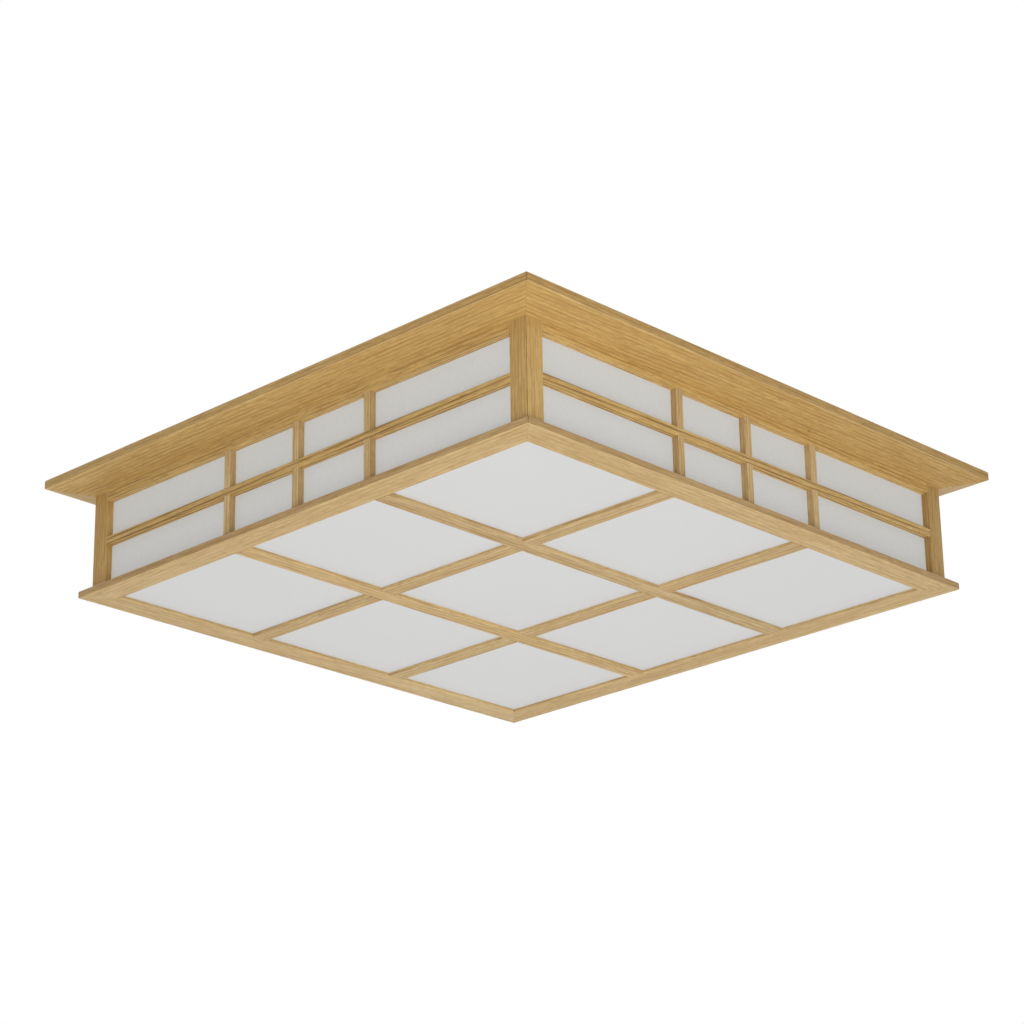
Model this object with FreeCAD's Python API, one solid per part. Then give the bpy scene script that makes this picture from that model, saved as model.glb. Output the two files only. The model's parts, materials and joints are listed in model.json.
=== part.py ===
import FreeCAD, Part
import os

# Overall size in millimetres. The ceiling plane is z = 0 and the light hangs below it.
eave_span = 550.0
eave_overhang = 29.6
height = 103.6

# Eave boards, mitred into a square cornice against the ceiling
eave_edge = 8.0
eave_root = 15.2
eave_reach = 40.0
eave_top_arris = 2.0
eave_arris = 1.0

# Lantern walls: posts, rails and the muntins that carry the paper
wall = 16.6
top_rail_face = 7.8
bottom_rail_face = 4.1
bottom_rail_back = 12.0
muntin = 6.6
lattice_depth = 6.3
post_arris = 1.0
fine_arris = 0.5
paper = 0.8
paper_slack = 0.3
paper_lap = 4.0
paper_end_gap = 0.4
paper_foot = 3.0
block_leg = 30.0
block_height = 25.0

# Drop-down door: mitred rim, flat lattice and diffuser
door_rim = 6.2
door_overhang = 7.6
door_gap = 0.3
door_lip = 2.8
door_ledge = 3.0
door_arris = 1.0
bar = 16.3
bar_arris = 0.9
diffuser = 2.0
diffuser_slack = 0.2

# Hinges, magnets and strikes of the door
hinge_len = 40.0
hinge_inset = 98.0
knuckle_r = 2.5
knuckle_gap = 0.3
knuckle_end_gap = 0.2
leaf = 1.0
leaf_set = 13.2
leaf_screw_set = 9.8
leaf_screw_head_r = 2.2
leaf_screw_r = 1.1
leaf_screw_up = 9.0
leaf_screw_down = 4.0
mortise_slack = 0.1
pin_r = 1.1
pin_fit = 0.05
magnet_r = 4.0
magnet_t = 2.0
magnet_set = 9.0
strike_r = 4.0
strike_shank_r = 1.5
strike_len = 4.0
clip_at = 61.0
clip_width = 12.0
clip_length = 9.0
clip_t = 0.4
clip_lap = 2.2
clip_pin_r = 0.8
clip_pin_len = 3.0

# Ceiling plate and its screws
plate = 1.2
plate_lap = 20.0
plate_slack = 0.3
slot_spacing = 300.0
slot_r = 2.5
slot_len = 12.0
plate_screw_r = 1.75
plate_screw_head_r = 3.4
plate_screw_len = 11.0
screw_fit = 0.05
cable_r = 5.0
grommet_neck_r = 8.0
grommet_flange_r = 11.0
grommet_flange = 2.0
grommet_len = 6.0

# Lamp gear on the plate
led_width = 14.0
led_board = 1.6
led_end_gap = 35.0
led_inner_row = 65.0
led_outer_gap = 45.0
lens_count = 6
lens_r = 7.0
lens_rise = 4.5
gear_screw_r = 1.5
gear_screw_head_r = 2.6
gear_screw_head = 1.6
gear_screw_end_gap = 6.0
gear_screw_cover = 0.2
driver_from = 60.0
driver_len = 100.0
driver_width = 44.0
driver_height = 26.0
driver_ear = 10.0
driver_ear_t = 1.5
driver_arris = 2.0
block_from = 17.0
terminal_len = 22.0
terminal_width = 22.0
terminal_height = 13.0
terminal_pole = 7.0
terminal_mouth_r = 1.6
terminal_mouth = 6.0
wire_r = 1.0
wire_pair = 3.0
wire_lift = 0.05
wire_lap = 5.0
saddle_width = 14.0
saddle_length = 8.0
saddle_height = 5.0

V = FreeCAD.Vector
UP = V(0, 0, 1)
SIDES = ("front", "right", "back", "left")
CORNERS = ("front_right", "back_right", "back_left", "front_left")

# Levels and half widths that follow from the sizes above
eave_half = eave_span / 2
body_half = eave_half - eave_overhang
inner_half = body_half - wall
door_half = body_half + door_overhang
plate_half = body_half - eave_reach + plate_lap
wall_top = -eave_root
door_under = -height
door_top = door_under + door_rim
wall_foot = door_top + door_gap
paper_face = body_half - lattice_depth
groove_back = paper_face - paper - paper_slack
rebate_half = inner_half + door_ledge
lip_top = door_under + door_lip
diffuser_top = lip_top + diffuser
gear_level = -plate
far = eave_span


def box(x0, x1, y0, y1, z0, z1):
    return Part.makeBox(x1 - x0, y1 - y0, z1 - z0, V(x0, y0, z0))


def rod(x, y, z, radius, length, axis=UP):
    return Part.makeCylinder(radius, length, V(x, y, z), axis)


def run(profile, half):
    """A moulding on the front side: (distance from centre, z) points run along x."""
    points = [V(-half, -d, z) for d, z in profile]
    face = Part.Face(Part.makePolygon(points + points[:1]))
    return face.extrude(V(2 * half, 0, 0))


def column(outline, z0, z1):
    """A plan outline of (x, y) points raised from z0 to z1."""
    points = [V(x, y, z0) for x, y in outline]
    face = Part.Face(Part.makePolygon(points + points[:1]))
    return face.extrude(V(0, 0, z1 - z0))


def eased(shape, radius, **at):
    """Rounds the straight edges that lie on all the given coordinates."""
    def lies(edge):
        return all(abs(getattr(v.Point, axis) - value) < mortise_slack / 2
                   for v in edge.Vertexes for axis, value in at.items())
    return shape.makeFillet(radius, [e for e in shape.Edges if len(e.Vertexes) == 2 and lies(e)])


def mitred(shape):
    """Keeps the part of a front moulding between its two 45 degree mitre planes."""
    wedge = column([(0, 0), (-far, -far), (far, -far)], -far, far)
    return shape.common(wedge).Solids[0]


def turned(shape, quarter):
    """A front piece carried round to another side."""
    copy = shape.copy()
    copy.rotate(V(0, 0, 0), UP, 90 * quarter)
    return copy


def countersunk(head_r, shank_r, length, grow=0.0):
    """A countersunk screw with its flat head at z = 0, point downwards."""
    head = head_r - shank_r
    cone = Part.makeCone(shank_r + grow, head_r + grow, head, V(0, 0, -head))
    shank = rod(0, 0, -length - grow, shank_r + grow, length + grow - head)
    return cone.fuse(shank).removeSplitter()


def placed(shape, x, y, z, flip=False):
    copy = shape.copy()
    if flip:
        copy.rotate(V(0, 0, 0), V(1, 0, 0), 180)
    copy.translate(V(x, y, z))
    return copy


def less(shape, cutters):
    return shape.cut(Part.makeCompound(cutters)).Solids[0] if cutters else shape


def save(node, *solids):
    shape = solids[0] if len(solids) == 1 else Part.makeCompound(list(solids))
    shape.exportStep(os.path.join("parts", node + ".step"))


os.makedirs("parts", exist_ok=True)

# Eave boards with a top rebate that takes the ceiling plate flush
plate_seat = plate_half + plate_slack
board = run([
    (eave_half, 0),
    (eave_half, -eave_edge),
    (body_half, -eave_root),
    (body_half - eave_reach, -eave_root),
    (body_half - eave_reach, -plate),
    (plate_seat, -plate),
    (plate_seat, 0),
], eave_half)
board = eased(board, eave_top_arris, y=-eave_half, z=0)
board = eased(board, eave_arris, y=-eave_half, z=-eave_edge)
board = mitred(board)
plate_screw_y = -(plate_half - plate_lap / 2)
plate_screw_xs = (-plate_half / 2, 0, plate_half / 2)
plate_screw = countersunk(plate_screw_head_r, plate_screw_r, plate_screw_len)
plate_screw_hole = countersunk(plate_screw_head_r, plate_screw_r, plate_screw_len, screw_fit)
board = less(board, [placed(plate_screw_hole, x, plate_screw_y, 0) for x in plate_screw_xs])
for quarter, side in enumerate(SIDES):
    save("eave_board_" + side, turned(board, quarter))
plate_screws = [placed(plate_screw, x, plate_screw_y, 0) for x in plate_screw_xs]
save("plate_screws", *[turned(s, quarter) for quarter in range(len(SIDES)) for s in plate_screws])

# Corner posts, grooved on both wall sides for the paper
near = lattice_depth
back = body_half - groove_back
deep = wall - paper_lap
post = column([(body_half - u, v - body_half) for u, v in (
    (0, 0), (wall, 0), (wall, near), (deep, near), (deep, back), (wall, back),
    (wall, wall), (back, wall), (back, deep), (near, deep), (near, wall), (0, wall),
)], wall_foot, wall_top)
post = eased(post, post_arris, x=body_half, y=-body_half)
for quarter, corner in enumerate(CORNERS):
    save("post_" + corner, turned(post, quarter))

# Glue blocks that tie the walls to the eave boards
corner_block = column([
    (inner_half, -inner_half),
    (inner_half, -inner_half + block_leg),
    (inner_half - block_leg, -inner_half),
], wall_top - block_height, wall_top)
save("corner_blocks", *[turned(corner_block, quarter) for quarter in range(len(SIDES))])

# Top and bottom rails between the posts
top_rail_foot = wall_top - top_rail_face
top_rail = run([
    (body_half, wall_top),
    (body_half, top_rail_foot),
    (paper_face, top_rail_foot),
    (paper_face, top_rail_foot + paper_lap),
    (groove_back, top_rail_foot + paper_lap),
    (groove_back, top_rail_foot),
    (inner_half, top_rail_foot),
    (inner_half, wall_top),
], inner_half)
top_rail = eased(top_rail, fine_arris, y=-body_half, z=top_rail_foot)
bottom_rail_top = wall_foot + bottom_rail_face
bottom_rail = run([
    (body_half, wall_foot),
    (body_half, bottom_rail_top),
    (paper_face, bottom_rail_top),
    (paper_face, wall_foot + paper_foot),
    (groove_back, wall_foot + paper_foot),
    (groove_back, wall_foot + bottom_rail_back),
    (inner_half, wall_foot + bottom_rail_back),
    (inner_half, wall_foot),
], inner_half)
bottom_rail = eased(bottom_rail, fine_arris, y=-body_half, z=bottom_rail_top)

# Muntins: one long cross bar half-lapped over three uprights, two narrow panes between two wide ones
pane_height = (top_rail_foot - bottom_rail_top - muntin) / 2
cross_top = top_rail_foot - pane_height
cross_foot = cross_top - muntin
narrow_pane = (2 * inner_half - 3 * muntin) / 6
upright_xs = (-narrow_pane - muntin, 0, narrow_pane + muntin)
lap_y = -body_half + lattice_depth / 2
cross = box(-inner_half, inner_half, -body_half, -paper_face, cross_foot, cross_top)
cross = eased(cross, fine_arris, y=-body_half, z=cross_top)
cross = eased(cross, fine_arris, y=-body_half, z=cross_foot)
cross = less(cross, [
    box(x - muntin / 2, x + muntin / 2, lap_y, -paper_face, cross_foot, cross_top) for x in upright_xs
])
upright = box(-muntin / 2, muntin / 2, -body_half, -paper_face, bottom_rail_top, top_rail_foot)
upright = eased(upright, fine_arris, x=-muntin / 2, y=-body_half)
upright = eased(upright, fine_arris, x=muntin / 2, y=-body_half)
upright = less(upright, [box(-muntin / 2, muntin / 2, -body_half, lap_y, cross_foot, cross_top)])
uprights = [placed(upright, x, 0, 0) for x in upright_xs]

# Paper behind the lattice, its edges in the grooves
paper_half = inner_half + paper_lap - paper_end_gap
sheet = box(-paper_half, paper_half, -paper_face, -paper_face + paper,
            wall_foot + paper_foot + paper_end_gap / 2, top_rail_foot + paper_lap - paper_end_gap)

for quarter, side in enumerate(SIDES):
    save("top_rail_" + side, turned(top_rail, quarter))
    save("cross_muntin_" + side, turned(cross, quarter))
    save("upright_muntins_" + side, *[turned(u, quarter) for u in uprights])
    save("paper_" + side, turned(sheet, quarter))

# Hinges on the back wall, their pins level with the joint between wall and door
hinge_xs = (hinge_inset - body_half, body_half - hinge_inset)
pin_y = body_half + knuckle_r + knuckle_gap
pin_z = (wall_foot + door_top) / 2
leaf_y = body_half - leaf_set
screw_y = body_half - leaf_screw_set
knuckle_pitch = hinge_len / 3


def knuckle(index, grow):
    start = -hinge_len / 2 + index * knuckle_pitch
    shrink = knuckle_end_gap / 2 if grow == 0 else 0
    return rod(start + shrink, pin_y, pin_z, knuckle_r + grow, knuckle_pitch - 2 * shrink, V(1, 0, 0))


def hinge_leaf(z0, z1, own, other, screw_face, flip):
    flap = box(-hinge_len / 2, hinge_len / 2, leaf_y, pin_y, z0, z1)
    flap = flap.cut(Part.makeCompound([knuckle(i, knuckle_gap) for i in other]))
    for i in own:
        flap = flap.fuse(knuckle(i, 0))
    bore = rod(-hinge_len, pin_y, pin_z, pin_r + pin_fit, 2 * hinge_len, V(1, 0, 0))
    hole = countersunk(leaf_screw_head_r, leaf_screw_r, leaf_screw_up, screw_fit)
    holes = [placed(hole, x, screw_y, screw_face, flip) for x in leaf_screw_xs]
    return less(flap.removeSplitter(), [bore] + holes)


leaf_screw_xs = (-hinge_len / 4, hinge_len / 4)
fixed_leaf = hinge_leaf(wall_foot, wall_foot + leaf, (0, 2), (1,), wall_foot, True)
door_leaf = hinge_leaf(door_top - leaf, door_top, (1,), (0, 2), door_top, False)
pin = rod(-hinge_len / 2, pin_y, pin_z, pin_r, hinge_len, V(1, 0, 0))
fixed_screw = countersunk(leaf_screw_head_r, leaf_screw_r, leaf_screw_up)
door_screw = countersunk(leaf_screw_head_r, leaf_screw_r, leaf_screw_down)
fixed_screw_hole = countersunk(leaf_screw_head_r, leaf_screw_r, leaf_screw_up, screw_fit)
door_screw_hole = countersunk(leaf_screw_head_r, leaf_screw_r, leaf_screw_down, screw_fit)
hinge_screw_xs = [h + x for h in hinge_xs for x in leaf_screw_xs]
save("hinge_leaves_fixed", *[placed(fixed_leaf, h, 0, 0) for h in hinge_xs])
save("hinge_leaves_door", *[placed(door_leaf, h, 0, 0) for h in hinge_xs])
save("hinge_pins", *[placed(pin, h, 0, 0) for h in hinge_xs])
save("hinge_screws_fixed", *[placed(fixed_screw, x, screw_y, wall_foot, True) for x in hinge_screw_xs])
save("hinge_screws_door", *[placed(door_screw, x, screw_y, door_top) for x in hinge_screw_xs])
mortise_half = hinge_len / 2 + mortise_slack
wall_mortises = [
    box(h - mortise_half, h + mortise_half, leaf_y - mortise_slack, body_half, wall_foot, wall_foot + leaf)
    for h in hinge_xs
]
wall_mortises += [placed(fixed_screw_hole, x, screw_y, wall_foot, True) for x in hinge_screw_xs]

# Disc magnets let into the front rail, over steel strike screws in the door
magnet_y = -body_half + magnet_set
magnet_holes = [rod(h, magnet_y, wall_foot, magnet_r + screw_fit, magnet_t) for h in hinge_xs]
save("catch_magnets", *[rod(h, magnet_y, wall_foot, magnet_r, magnet_t) for h in hinge_xs])
save("bottom_rail_front", less(bottom_rail, magnet_holes))
save("bottom_rail_right", turned(bottom_rail, 1))
save("bottom_rail_back", less(turned(bottom_rail, 2), wall_mortises))
save("bottom_rail_left", turned(bottom_rail, 3))
strike = countersunk(strike_r, strike_shank_r, strike_len)
strike_hole = countersunk(strike_r, strike_shank_r, strike_len, screw_fit)
save("strike_screws", *[placed(strike, h, magnet_y, door_top) for h in hinge_xs])

# Door lattice: two bars each way, half-lapped flush and let into the ledge of the rim
door_pane = (2 * inner_half - 2 * bar) / 3
bar_at = (door_pane + bar) / 2
lap_z = door_under + door_lip / 2
crossings = (-bar_at, bar_at)


def lattice_bar(lap_low, lap_high):
    stick = box(-inner_half, inner_half, -bar / 2, bar / 2, door_under, lip_top)
    for y in (-bar / 2, bar / 2):
        stick = eased(stick, bar_arris, y=y, z=door_under)
    tongue = box(-rebate_half, rebate_half, -bar / 2, bar / 2, lap_z, lip_top)
    laps = [box(c - bar / 2, c + bar / 2, -bar / 2, bar / 2, lap_low, lap_high) for c in crossings]
    return less(stick.fuse(tongue).removeSplitter(), laps)


bar_across = lattice_bar(door_under, lap_z)
bar_along = turned(lattice_bar(lap_z, lip_top), 1)
for place, at in zip(("front", "back"), crossings):
    save("door_bar_across_" + place, placed(bar_across, 0, at, 0))
for place, at in zip(("left", "right"), crossings):
    save("door_bar_along_" + place, placed(bar_along, at, 0, 0))

# Door rim: mitred rails with an inner rebate for the diffuser
rail = run([
    (door_half, door_under),
    (door_half, door_top),
    (rebate_half, door_top),
    (rebate_half, lip_top),
    (inner_half, lip_top),
    (inner_half, door_under),
], door_half)
rail = eased(rail, door_arris, y=-door_half, z=door_under)
rail = eased(rail, door_arris, y=-door_half, z=door_top)
rail = eased(rail, bar_arris, y=-inner_half, z=door_under)
rail = mitred(rail)
tongue_seats = [box(c - bar / 2, c + bar / 2, -rebate_half, -inner_half, lap_z, lip_top) for c in crossings]

# Spring clips pinned to the rim hold the diffuser down on its ledge
clip_xs = (-clip_at, clip_at)
clip_from = rebate_half - clip_lap
clip_y = -(clip_from + clip_length * 2 / 3)
clip_tab = box(-clip_width / 2, clip_width / 2, -clip_from - clip_length, -clip_from,
               diffuser_top, diffuser_top + clip_t)
clip_pin = rod(0, clip_y, diffuser_top - clip_pin_len, clip_pin_r, clip_pin_len)
clip = clip_tab.fuse(clip_pin).removeSplitter()
clip_seat = box(-clip_width / 2 - mortise_slack, clip_width / 2 + mortise_slack,
                -clip_from - clip_length - mortise_slack, -rebate_half, diffuser_top, door_top)
clip_hole = rod(0, clip_y, diffuser_top - clip_pin_len - screw_fit, clip_pin_r + screw_fit, clip_pin_len + door_rim)
clips = [placed(clip, x, 0, 0) for x in clip_xs]
save("panel_clips", *[turned(c, quarter) for quarter in range(len(SIDES)) for c in clips])
rail = less(rail, tongue_seats + [placed(c, x, 0, 0) for x in clip_xs for c in (clip_seat, clip_hole)])

door_mortises = [
    box(h - mortise_half, h + mortise_half, leaf_y - mortise_slack, body_half, door_top - leaf, door_top)
    for h in hinge_xs
]
knuckle_room = knuckle_r + knuckle_gap + door_gap / 2
door_mortises += [
    box(h - mortise_half, h + mortise_half, pin_y - knuckle_room, door_half, door_top - knuckle_room, door_top)
    for h in hinge_xs
]
door_mortises += [placed(door_screw_hole, x, screw_y, door_top) for x in hinge_screw_xs]
save("door_rail_front", less(rail, [placed(strike_hole, h, magnet_y, door_top) for h in hinge_xs]))
save("door_rail_right", turned(rail, 1))
save("door_rail_back", less(turned(rail, 2), door_mortises))
save("door_rail_left", turned(rail, 3))
diffuser_half = rebate_half - diffuser_slack
save("door_diffuser", box(-diffuser_half, diffuser_half, -diffuser_half, diffuser_half, lip_top, diffuser_top))

# Lamp gear: light boards with lens domes, driver and terminal block
led_half = plate_half - led_end_gap
led_outer_row = plate_half - led_outer_gap
led_ys = (-led_outer_row, -led_inner_row, led_inner_row, led_outer_row)
led_level = gear_level - led_board
lens_pitch = 2 * led_half / lens_count
lens_xs = [-led_half + (i + 0.5) * lens_pitch for i in range(lens_count)]
led_screw_xs = (-led_half + gear_screw_end_gap, 0, led_half - gear_screw_end_gap)
dome_r = (lens_r ** 2 + lens_rise ** 2) / (2 * lens_rise)
dome = Part.makeSphere(dome_r, V(0, 0, dome_r - lens_rise))
dome = dome.common(box(-far, far, -far, far, -far, 0)).Solids[0]
save("led_lenses", *[placed(dome, x, y, led_level) for y in led_ys for x in lens_xs])


def gear_screw(x, y, seat, grow=0.0):
    """A pan-head screw driven up through a piece whose underside is at seat."""
    head = rod(x, y, seat - gear_screw_head, gear_screw_head_r, gear_screw_head)
    shank = rod(x, y, seat, gear_screw_r + grow, -seat - gear_screw_cover)
    return head.fuse(shank).removeSplitter() if grow == 0 else shank


led_spots = [(x, y) for y in led_ys for x in led_screw_xs]
for number, y in enumerate(led_ys, 1):
    strip = box(-led_half, led_half, y - led_width / 2, y + led_width / 2, led_level, gear_level)
    save("led_board_%d" % number, less(strip, [gear_screw(x, y, led_level, screw_fit) for x in led_screw_xs]))

driver_to = driver_from + driver_len
driver_half = driver_width / 2
driver = box(driver_from, driver_to, -driver_half, driver_half, gear_level - driver_height, gear_level)
driver = eased(driver, driver_arris, z=gear_level - driver_height)
ears = box(driver_from - driver_ear, driver_to + driver_ear, -driver_half, driver_half,
           gear_level - driver_ear_t, gear_level)
ear_level = gear_level - driver_ear_t
ear_spots = [(x, y) for x in (driver_from - driver_ear / 2, driver_to + driver_ear / 2)
             for y in (-driver_half / 2, driver_half / 2)]
driver = driver.fuse(ears).removeSplitter()
save("driver_case", less(driver, [gear_screw(x, y, ear_level, screw_fit) for x, y in ear_spots]))
led_screws = [gear_screw(x, y, led_level) for x, y in led_spots]
save("gear_screws", *led_screws, *[gear_screw(x, y, ear_level) for x, y in ear_spots])

terminal_to = block_from + terminal_len
wire_z = gear_level - terminal_height / 2
terminal = box(block_from, terminal_to, -terminal_width / 2, terminal_width / 2,
               gear_level - terminal_height, gear_level)
poles = (-terminal_pole, terminal_pole)
mouths = [rod(x, y, wire_z, terminal_mouth_r, terminal_mouth, V(1, 0, 0))
          for y in poles for x in (block_from, terminal_to - terminal_mouth)]
save("terminal_block", less(terminal, mouths))

# Wires run straight: block to driver, driver to the inner boards, inner boards to the outer ones
feed_from = terminal_to - terminal_mouth
wires = [rod(feed_from, y, wire_z, wire_r, driver_from - feed_from, V(1, 0, 0)) for y in poles]
lead_z = led_level - wire_r - wire_lift
lead_x = 2 * lens_pitch
inner_y = led_ys[2] - led_width / 2
outer_y = led_ys[3] - led_width / 2
saddles = []
for direction in (-1, 1):
    heading = V(0, direction, 0)
    for x, start, stop in ((lead_x, driver_half, inner_y + wire_lap),
                           (-lead_x, inner_y + led_width - wire_lap, outer_y + wire_lap)):
        pair = [(x + offset, direction * start) for offset in (-wire_pair, wire_pair)]
        wires += [rod(px, py, lead_z, wire_r, stop - start, heading) for px, py in pair]
        middle = direction * (start + stop) / 2
        saddle = box(x - saddle_width / 2, x + saddle_width / 2, middle - saddle_length / 2,
                     middle + saddle_length / 2, gear_level - saddle_height, gear_level)
        saddles.append(less(saddle, [rod(px, py, lead_z, wire_r + wire_lift, stop - start, heading)
                                     for px, py in pair]))
save("wires", *wires)
save("wire_saddles", *saddles)

# Ceiling plate: slots for the ceiling screws, a bushed cable hole and the gear's screw holes
slots = []
for x in (-slot_spacing / 2, slot_spacing / 2):
    for y in (-slot_spacing / 2, slot_spacing / 2):
        reach = slot_len / 2 - slot_r
        slot = box(x - reach, x + reach, y - slot_r, y + slot_r, -plate, 0)
        for end in (x - reach, x + reach):
            slot = slot.fuse(rod(end, y, -plate, slot_r, plate))
        slots.append(slot.removeSplitter())
panel = box(-plate_half, plate_half, -plate_half, plate_half, -plate, 0)
cable_hole = rod(0, 0, -plate, grommet_neck_r + screw_fit, plate)
head_holes = [placed(plate_screw_hole, x, plate_screw_y, 0) for x in plate_screw_xs]
head_holes = [turned(h, quarter) for quarter in range(len(SIDES)) for h in head_holes]
gear_holes = [gear_screw(x, y, led_level, screw_fit) for x, y in led_spots]
gear_holes += [gear_screw(x, y, ear_level, screw_fit) for x, y in ear_spots]
save("ceiling_plate", less(panel, slots + [cable_hole] + head_holes + gear_holes))
grommet = rod(0, 0, -plate, grommet_neck_r, plate)
grommet = grommet.fuse(rod(0, 0, -plate - grommet_flange, grommet_flange_r, grommet_flange))
grommet = grommet.fuse(rod(0, 0, -grommet_len, grommet_neck_r, grommet_len - plate)).removeSplitter()
save("cable_grommet", less(grommet, [rod(0, 0, -grommet_len, cable_r, grommet_len)]))
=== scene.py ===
"""Square wooden lantern light for a ceiling: looks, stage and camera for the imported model."""

import json
import math

import bmesh
import bpy
from mathutils import Matrix, Vector

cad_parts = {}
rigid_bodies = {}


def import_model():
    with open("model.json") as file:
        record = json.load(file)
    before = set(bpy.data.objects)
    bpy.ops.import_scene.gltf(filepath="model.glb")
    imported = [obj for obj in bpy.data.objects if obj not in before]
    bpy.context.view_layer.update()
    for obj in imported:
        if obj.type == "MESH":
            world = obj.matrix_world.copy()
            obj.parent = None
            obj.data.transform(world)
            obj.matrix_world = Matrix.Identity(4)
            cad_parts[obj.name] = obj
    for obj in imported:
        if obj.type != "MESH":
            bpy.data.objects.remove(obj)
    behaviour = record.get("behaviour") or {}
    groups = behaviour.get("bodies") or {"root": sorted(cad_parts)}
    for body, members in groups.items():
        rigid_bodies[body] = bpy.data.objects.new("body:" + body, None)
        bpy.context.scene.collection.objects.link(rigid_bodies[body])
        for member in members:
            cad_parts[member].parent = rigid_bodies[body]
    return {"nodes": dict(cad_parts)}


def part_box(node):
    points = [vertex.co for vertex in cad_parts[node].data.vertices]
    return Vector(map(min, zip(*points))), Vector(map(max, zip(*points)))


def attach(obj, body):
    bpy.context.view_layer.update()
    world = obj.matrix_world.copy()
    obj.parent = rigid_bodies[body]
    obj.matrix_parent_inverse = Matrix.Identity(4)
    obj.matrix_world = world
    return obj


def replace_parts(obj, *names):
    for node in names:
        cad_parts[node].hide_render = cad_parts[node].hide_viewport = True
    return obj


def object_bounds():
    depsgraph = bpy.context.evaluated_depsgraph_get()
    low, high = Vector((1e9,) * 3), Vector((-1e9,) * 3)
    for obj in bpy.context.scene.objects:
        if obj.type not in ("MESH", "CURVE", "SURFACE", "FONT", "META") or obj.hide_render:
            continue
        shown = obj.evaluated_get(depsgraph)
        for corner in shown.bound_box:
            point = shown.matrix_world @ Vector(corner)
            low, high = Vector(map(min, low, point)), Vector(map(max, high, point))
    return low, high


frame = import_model()
CAD_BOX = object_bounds()
NODES = frame["nodes"]

bl_info = {
    "name": "Lattice Ceiling Light",
    "version": (1, 0, 0),
    "blender": (4, 5, 0),
    "location": "View3D > Sidebar > Lantern",
    "description": "Finishes a square wooden lantern light: grain, paper, diffuser, fittings and stage",
    "category": "Object",
}

SIDES = ("front", "right", "back", "left")
CORNERS = ("front_right", "back_right", "back_left", "front_left")
RUN_OF_SIDE = {"front": "X", "right": "Y", "back": "X", "left": "Y"}
# Turns the run of a piece to x, where the grain is drawn
TURN_TO_X = {"X": (0, 0, 0), "Y": (0, 0, -math.pi / 2), "Z": (0, math.pi / 2, 0)}
# Each piece is cut from the plank this much further on, in metres
PLANK_STEP = (0.37, 0.113, 0.071)
# Across the growth rings, with the grain along x
RING_FACING = (0.0, 0.78, 0.62)
# Noises of the grain: features per metre along and across it, detail, roughness
GRAIN_NOISE = {
    "wander": (2.4, 15, 2.0, 0.5),
    "ripple": (16, 160, 2.0, 0.5),
    "gap": (26, 420, 2.0, 0.55),
    "band": (1.8, 34, 3.0, 0.55),
    "fibre": (40, 1000, 3.0, 0.6),
    "pore": (130, 1700, 1.0, 0.4),
}
# How much each noise tells in the grain, and how deep a pore is beside the fibres
RIPPLE, BAND, FIBRE, PORE = 0.45, 0.40, 0.60, 0.34
PORE_DEPTH = 0.8
# Pin knots of the eave boards, in metres
KNOTS = {
    "right": (0.2484, 0.0716, -0.0145),
    "back": (-0.1630, 0.2610, -0.0114),
    "left": (-0.2750, 0.1240, -0.0050),
}
# How dark a glue line and a knot are beside a growth line
GLUE_SHADE, KNOT_SHADE = 0.6, 0.4
# How plainly the glue line of a mitre shows on level and on upright faces
MITRE_LEVEL, MITRE_UPRIGHT = 0.12, 0.75
# How much lighter or darker a piece is than its kind: partly tone that differs at random from board to
# board, partly painted light, as painted shade darkens the bottom rails above the door and painted light
# lifts the right-hand rails and the cross muntins
BOARD_TONE_AND_LIGHT = {
    "post_back_right": 0.88, "post_front_left": 1.03,
    "top_rail_front": 1.04, "top_rail_right": 1.15, "top_rail_back": 1.08, "top_rail_left": 1.05,
    "bottom_rail_front": 0.82, "bottom_rail_right": 0.92,
    "bottom_rail_back": 0.85, "bottom_rail_left": 0.83,
    "cross_muntin_front": 1.13, "cross_muntin_right": 1.15,
    "cross_muntin_back": 1.14, "cross_muntin_left": 1.16,
    "door_bar_across_front": 0.94, "door_bar_across_back": 0.96,
    "door_bar_along_left": 1.06, "door_bar_along_right": 0.92,
}
LED_BOARDS = tuple("led_board_%d" % number for number in range(1, 5))
# A screw's shank, the flat of its pan head and the drop of that head's rim, in shares of the head's radius
SHANK, PAN_FLAT, PAN_DROP = 0.5, 0.86, 0.18
# Its cross recess, in the same shares, and how much the floor of the recess narrows
RECESS_ARM, RECESS_SLOT, RECESS_DEPTH, RECESS_TAPER = 0.62, 0.13, 0.35, 0.6
# Terminal screws, in shares of their inset: distance from the side, radii of the collar and of the head
CLAMP_SIDE, COLLAR_OUTER, COLLAR_INNER, CLAMP_HEAD = 0.75, 0.48, 0.36, 0.34
# Reach of a terminal screw and height of its head, in shares of the collar's height
CLAMP_REACH, CLAMP_RISE = 0.6, 0.5
# Share of the driver's underside that has ribs
RIBBED = 0.7
# A solder joint is longer along its wire than across, and flat
SOLDER_FORM = (1, 1.2, 0.7)
# Facets round a turned piece, the distance at which points are one, and the angle that still looks smooth
TURN_STEPS = 24
WELD = 1e-6
SMOOTH_UP_TO = math.radians(35)
# Half the width of the floor, in metres
FLOOR_HALF = 30.0


def tint(red, green, blue):
    """Linear colour of an 8-bit screen colour."""
    def linear(level):
        level /= 255
        return level / 12.92 if level <= 0.04045 else ((level + 0.055) / 1.055) ** 2.4
    return (linear(red), linear(green), linear(blue))


def shaded(base, amount):
    """A colour made darker or lighter, with its alpha."""
    return (*(level * amount for level in base), 1)


def colour(name, description, default):
    """A colour that the user can set."""
    return bpy.props.FloatVectorProperty(
        name=name, description=description, subtype="COLOR", min=0, max=1, default=default)


def share(name, description, default, top=1.0):
    """A plain amount that the user can set."""
    return bpy.props.FloatProperty(name=name, description=description, min=0, max=top, default=default)


def length(name, description, default):
    """A length that the user can set, in metres."""
    return bpy.props.FloatProperty(name=name, description=description, unit="LENGTH", default=default)


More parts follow.
